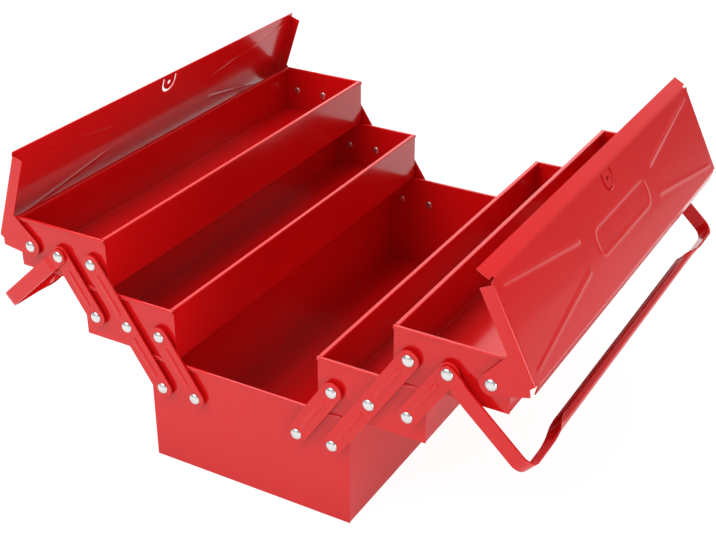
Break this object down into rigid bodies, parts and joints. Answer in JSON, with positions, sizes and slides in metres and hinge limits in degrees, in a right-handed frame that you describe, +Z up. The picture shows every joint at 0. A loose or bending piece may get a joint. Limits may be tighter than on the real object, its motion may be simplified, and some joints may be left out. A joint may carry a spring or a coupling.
{
  "type": "cantilever tool box",
  "caption": "Cantilever tool box in red sheet steel: trays on parallel links that spread from the base, hinged lids and bail handles, shown open.",
  "frame": {"origin": "middle of the base's underside, level with the ground and at the middle of the whole spread", "axes": "+X across the spread towards the right-hand trays, +Y along the box towards its rear end, +Z up"},
  "size_m": [0.5136, 0.448, 0.2681],
  "materials": {
    "red_enamel": "glossy red stove enamel over folded sheet steel",
    "rivet_zinc": "bright zinc plating on domed rivets"
  },
  "bodies": {
    "base": {"base_shell": "red_enamel", "base_front_end": "red_enamel", "base_rear_end": "red_enamel", "base_rivets": "rivet_zinc", "base_spacers": "red_enamel"},
    "left_middle_tray": {"left_middle_shell": "red_enamel", "left_middle_front_end": "red_enamel", "left_middle_rear_end": "red_enamel", "left_middle_rivets": "rivet_zinc", "left_middle_spacers": "red_enamel"},
    "left_top_tray": {"left_top_shell": "red_enamel", "left_top_front_end": "red_enamel", "left_top_rear_end": "red_enamel", "left_top_rivets": "rivet_zinc", "left_top_spacers": "red_enamel"},
    "left_long_links": {"left_front_long_link": "red_enamel", "left_rear_long_link": "red_enamel"},
    "left_lower_links": {"left_front_lower_link": "red_enamel", "left_rear_lower_link": "red_enamel"},
    "left_upper_links": {"left_front_upper_link": "red_enamel", "left_rear_upper_link": "red_enamel"},
    "left_lid_body": {"left_lid": "red_enamel"},
    "left_handle_body": {"left_handle": "red_enamel"},
    "right_middle_tray": {"right_middle_shell": "red_enamel", "right_middle_front_end": "red_enamel", "right_middle_rear_end": "red_enamel", "right_middle_rivets": "rivet_zinc", "right_middle_spacers": "red_enamel"},
    "right_top_tray": {"right_top_shell": "red_enamel", "right_top_front_end": "red_enamel", "right_top_rear_end": "red_enamel", "right_top_rivets": "rivet_zinc", "right_top_spacers": "red_enamel"},
    "right_long_links": {"right_front_long_link": "red_enamel", "right_rear_long_link": "red_enamel"},
    "right_lower_links": {"right_front_lower_link": "red_enamel", "right_rear_lower_link": "red_enamel"},
    "right_upper_links": {"right_front_upper_link": "red_enamel", "right_rear_upper_link": "red_enamel"},
    "right_lid_body": {"right_lid": "red_enamel"},
    "right_handle_body": {"right_handle": "red_enamel"}
  },
  "joints": [
    {"name": "left_swing", "type": "hinge", "parent": "base", "child": "left_long_links", "pos_m": [-0.0838, 0, 0.0757], "axis": [0, 1, 0], "range_deg": [0, 66.8]},
    {"name": "left_lower_link_turn", "type": "hinge", "parent": "base", "child": "left_lower_links", "pos_m": [-0.0504, 0, 0.0757], "axis": [0, 1, 0], "range_deg": [0, 66.8]},
    {"name": "left_middle_tray_turn", "type": "hinge", "parent": "left_long_links", "child": "left_middle_tray", "pos_m": [-0.1172, 0, 0.1263], "axis": [0, 1, 0], "range_deg": [-66.8, 0]},
    {"name": "left_upper_link_turn", "type": "hinge", "parent": "left_middle_tray", "child": "left_upper_links", "pos_m": [-0.1506, 0, 0.1263], "axis": [0, 1, 0], "range_deg": [0, 66.8]},
    {"name": "left_top_tray_turn", "type": "hinge", "parent": "left_long_links", "child": "left_top_tray", "pos_m": [-0.1506, 0, 0.1769], "axis": [0, 1, 0], "range_deg": [-66.8, 0]},
    {"name": "left_lid_hinge", "type": "hinge", "parent": "left_top_tray", "child": "left_lid_body", "pos_m": [-0.2174, 0, 0.1769], "axis": [0, 1, 0], "range_deg": [0, 71.5]},
    {"name": "left_handle_turn", "type": "hinge", "parent": "left_top_tray", "child": "left_handle_body", "pos_m": [-0.184, 0, 0.1769], "axis": [0, 1, 0], "range_deg": [0, 161]},
    {"name": "right_swing", "type": "hinge", "parent": "base", "child": "right_long_links", "pos_m": [0.0838, 0, 0.0757], "axis": [0, -1, 0], "range_deg": [0, 66.8]},
    {"name": "right_lower_link_turn", "type": "hinge", "parent": "base", "child": "right_lower_links", "pos_m": [0.0504, 0, 0.0757], "axis": [0, -1, 0], "range_deg": [0, 66.8]},
    {"name": "right_middle_tray_turn", "type": "hinge", "parent": "right_long_links", "child": "right_middle_tray", "pos_m": [0.1172, 0, 0.1263], "axis": [0, -1, 0], "range_deg": [-66.8, 0]},
    {"name": "right_upper_link_turn", "type": "hinge", "parent": "right_middle_tray", "child": "right_upper_links", "pos_m": [0.1506, 0, 0.1263], "axis": [0, -1, 0], "range_deg": [0, 66.8]},
    {"name": "right_top_tray_turn", "type": "hinge", "parent": "right_long_links", "child": "right_top_tray", "pos_m": [0.1506, 0, 0.1769], "axis": [0, -1, 0], "range_deg": [-66.8, 0]},
    {"name": "right_lid_hinge", "type": "hinge", "parent": "right_top_tray", "child": "right_lid_body", "pos_m": [0.2174, 0, 0.1769], "axis": [0, -1, 0], "range_deg": [0, 63.5]},
    {"name": "right_handle_turn", "type": "hinge", "parent": "right_top_tray", "child": "right_handle_body", "pos_m": [0.184, 0, 0.1769], "axis": [0, -1, 0], "range_deg": [0, 161]}
  ],
  "couplings": [
    {"joint": "left_lower_link_turn", "follows": "left_swing", "ratio": 1},
    {"joint": "left_middle_tray_turn", "follows": "left_swing", "ratio": -1},
    {"joint": "left_upper_link_turn", "follows": "left_swing", "ratio": 1},
    {"joint": "left_top_tray_turn", "follows": "left_swing", "ratio": -1},
    {"joint": "left_handle_turn", "follows": "left_lid_hinge", "ratio": 2.25},
    {"joint": "right_lower_link_turn", "follows": "right_swing", "ratio": 1},
    {"joint": "right_middle_tray_turn", "follows": "right_swing", "ratio": -1},
    {"joint": "right_upper_link_turn", "follows": "right_swing", "ratio": 1},
    {"joint": "right_top_tray_turn", "follows": "right_swing", "ratio": -1},
    {"joint": "right_handle_turn", "follows": "right_lid_hinge", "ratio": 2.53}
  ]
}
